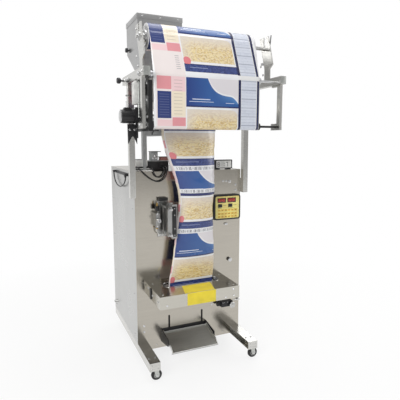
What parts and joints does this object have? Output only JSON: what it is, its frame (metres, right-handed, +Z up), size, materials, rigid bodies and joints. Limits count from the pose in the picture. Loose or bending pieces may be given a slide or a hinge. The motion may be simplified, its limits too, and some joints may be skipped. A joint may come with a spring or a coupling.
{
  "type": "vertical form fill sealer",
  "caption": "Upright bagging machine on casters: hopper, vibrating feeder, film roll, forming tube, vertical and horizontal sealers, and a discharge chute.",
  "frame": {"origin": "centre of the bounding box underside, on the floor", "axes": "+Z up; -Y is the front, where the film tube and the panel are; +X is the right side seen from the front"},
  "size_m": [0.866, 1.0706, 2.159],
  "materials": {
    "stainless": "polished and brushed stainless steel sheet",
    "bright_steel": "bright machined and plated steel",
    "black_metal": "satin black paint",
    "black_plastic": "moulded black plastic",
    "aluminium": "plain machined",
    "black_rubber": "matt black",
    "printed_film": "printed wrapping film in navy, blue, pink and beige",
    "painted_grey": "satin grey paint"
  },
  "bodies": {
    "machine": {"air_regulator": "black_plastic", "belt_guard": "black_metal", "cable_bracket": "black_plastic", "control_panel": "black_plastic", "electrical_plate": "aluminium", "feed_motor": "black_metal", "feeder_drive": "painted_grey", "film_end": "printed_film", "film_tube": "printed_film", "film_web": "printed_film", "former_collar": "bright_steel", "forming_tube": "stainless", "front_panel": "stainless", "hopper": "stainless", "hopper_stand": "painted_grey", "jaw_cylinder": "aluminium", "junction_box": "black_metal", "left_base_rail": "stainless", "left_hanger_bar": "stainless", "left_side_panel": "stainless", "left_upright": "stainless", "loop_cable": "black_rubber", "main_frame": "painted_grey", "right_base_rail": "stainless", "right_hanger_bar": "stainless", "right_side_panel": "stainless", "right_upright": "stainless", "seal_box": "stainless", "seal_bracket": "painted_grey", "seal_hose": "black_rubber", "side_cable": "black_rubber", "small_loop_cable": "black_rubber", "temperature_meter": "black_plastic", "timing_belt": "black_rubber"},
    "supply_roll": {"film_roll": "printed_film", "roll_shaft": "bright_steel"},
    "caster_fork_front_left": {"caster_fork_front_left": "bright_steel"},
    "caster_fork_front_right": {"caster_fork_front_right": "bright_steel"},
    "caster_fork_rear_left": {"caster_fork_rear_left": "bright_steel"},
    "caster_fork_rear_right": {"caster_fork_rear_right": "bright_steel"},
    "caster_wheel_front_left": {"caster_wheel_front_left": "black_rubber"},
    "caster_wheel_front_right": {"caster_wheel_front_right": "black_rubber"},
    "caster_wheel_rear_left": {"caster_wheel_rear_left": "black_rubber"},
    "caster_wheel_rear_right": {"caster_wheel_rear_right": "black_rubber"},
    "top_guide_roller": {"top_guide_roller": "aluminium"},
    "draw_roller": {"draw_roller": "black_rubber"},
    "drive_pulley": {"drive_pulley": "aluminium"},
    "front_jaw": {"front_jaw": "bright_steel"},
    "rear_jaw": {"rear_jaw": "bright_steel"},
    "front_seal_bar": {"front_seal_bar": "bright_steel"},
    "rear_seal_bar": {"rear_seal_bar": "bright_steel"},
    "rear_door": {"rear_door": "stainless"},
    "door_latch": {"door_latch": "black_plastic"},
    "hopper_gate": {"hopper_gate": "stainless"},
    "feeder_trough": {"feeder_trough": "stainless"},
    "chute_frame": {"chute_frame": "black_metal"},
    "chute_tray": {"chute_tray": "stainless"},
    "regulator_knob": {"regulator_knob": "black_plastic"},
    "power_switch": {"power_switch": "black_plastic"},
    "arm_clamp_knob": {"arm_clamp_knob": "black_plastic"}
  },
  "joints": [
    {"name": "caster_front_left_swivel", "type": "hinge", "parent": "machine", "child": "caster_fork_front_left", "pos_m": [-0.285, -0.3423, 0.074], "axis": [0, 0, 1], "continuous": true},
    {"name": "caster_front_left_roll", "type": "hinge", "parent": "caster_fork_front_left", "child": "caster_wheel_front_left", "pos_m": [-0.267, -0.3423, 0.0315], "axis": [0, 1, 0], "continuous": true},
    {"name": "caster_front_right_swivel", "type": "hinge", "parent": "machine", "child": "caster_fork_front_right", "pos_m": [0.351, -0.3423, 0.074], "axis": [0, 0, 1], "continuous": true},
    {"name": "caster_front_right_roll", "type": "hinge", "parent": "caster_fork_front_right", "child": "caster_wheel_front_right", "pos_m": [0.369, -0.3423, 0.0315], "axis": [0, 1, 0], "continuous": true},
    {"name": "caster_rear_left_swivel", "type": "hinge", "parent": "machine", "child": "caster_fork_rear_left", "pos_m": [-0.192, 0.4804, 0.074], "axis": [0, 0, 1], "continuous": true},
    {"name": "caster_rear_left_roll", "type": "hinge", "parent": "caster_fork_rear_left", "child": "caster_wheel_rear_left", "pos_m": [-0.174, 0.4804, 0.0315], "axis": [0, 1, 0], "continuous": true},
    {"name": "caster_rear_right_swivel", "type": "hinge", "parent": "machine", "child": "caster_fork_rear_right", "pos_m": [0.258, 0.4804, 0.074], "axis": [0, 0, 1], "continuous": true},
    {"name": "caster_rear_right_roll", "type": "hinge", "parent": "caster_fork_rear_right", "child": "caster_wheel_rear_right", "pos_m": [0.276, 0.4804, 0.0315], "axis": [0, 1, 0], "continuous": true},
    {"name": "supply_roll_spin", "type": "hinge", "parent": "machine", "child": "supply_roll", "pos_m": [-0.003, -0.3653, 1.881], "axis": [1, 0, 0], "continuous": true},
    {"name": "top_guide_roller_spin", "type": "hinge", "parent": "machine", "child": "top_guide_roller", "pos_m": [-0.003, -0.4653, 1.685], "axis": [1, 0, 0], "continuous": true},
    {"name": "draw_roller_spin", "type": "hinge", "parent": "machine", "child": "draw_roller", "pos_m": [-0.003, -0.4653, 1.44], "axis": [1, 0, 0], "continuous": true},
    {"name": "drive_pulley_spin", "type": "hinge", "parent": "machine", "child": "drive_pulley", "pos_m": [-0.317, -0.3303, 1.487], "axis": [1, 0, 0], "continuous": true},
    {"name": "front_jaw_slide", "type": "slide", "parent": "machine", "child": "front_jaw", "axis": [0, 1, 0], "range_m": [0, 0.0475]},
    {"name": "rear_jaw_slide", "type": "slide", "parent": "machine", "child": "rear_jaw", "axis": [0, -1, 0], "range_m": [0, 0.0475]},
    {"name": "front_seal_bar_slide", "type": "slide", "parent": "machine", "child": "front_seal_bar", "axis": [0, 1, 0], "range_m": [0, 0.0245]},
    {"name": "rear_seal_bar_slide", "type": "slide", "parent": "machine", "child": "rear_seal_bar", "axis": [0, -1, 0], "range_m": [0, 0.0245]},
    {"name": "rear_door_hinge", "type": "hinge", "parent": "machine", "child": "rear_door", "pos_m": [0.376, 0.522, 0.65], "axis": [0, 0, -1], "range_deg": [0, 110]},
    {"name": "door_latch_turn", "type": "hinge", "parent": "rear_door", "child": "door_latch", "pos_m": [-0.278, 0.515, 0.65], "axis": [0, 1, 0], "range_deg": [0, 90]},
    {"name": "hopper_gate_slide", "type": "slide", "parent": "machine", "child": "hopper_gate", "axis": [-1, 0, 0], "range_m": [0, 0.07]},
    {"name": "feeder_trough_shake", "type": "slide", "parent": "machine", "child": "feeder_trough", "axis": [0, 1, 0], "range_m": [-0.001, 0.001], "stiffness_N_per_m": 20000},
    {"name": "chute_height", "type": "slide", "parent": "machine", "child": "chute_frame", "axis": [0, 0, 1], "range_m": [0, 0.1]},
    {"name": "chute_tray_tilt", "type": "hinge", "parent": "chute_frame", "child": "chute_tray", "pos_m": [-0.003, -0.1483, 0.18], "axis": [1, 0, 0], "range_deg": [-16, 20]},
    {"name": "regulator_knob_turn", "type": "hinge", "parent": "machine", "child": "regulator_knob", "pos_m": [0.2307, -0.1553, 0.307], "axis": [1, 0, 0], "range_deg": [0, 300]},
    {"name": "power_switch_turn", "type": "hinge", "parent": "machine", "child": "power_switch", "pos_m": [0.308, -0.1306, 0.592], "axis": [0, -1, 0], "range_deg": [0, 90]},
    {"name": "arm_clamp_knob_turn", "type": "hinge", "parent": "machine", "child": "arm_clamp_knob", "pos_m": [-0.367, -0.1514, 1.689], "axis": [1, 0, 0], "range_deg": [0, 360]}
  ],
  "couplings": [
    {"joint": "top_guide_roller_spin", "follows": "supply_roll_spin", "ratio": 3.4737},
    {"joint": "draw_roller_spin", "follows": "supply_roll_spin", "ratio": 3.4737},
    {"joint": "drive_pulley_spin", "follows": "supply_roll_spin", "ratio": 3.4737},
    {"joint": "rear_jaw_slide", "follows": "front_jaw_slide", "ratio": 1},
    {"joint": "rear_seal_bar_slide", "follows": "front_seal_bar_slide", "ratio": 1}
  ]
}
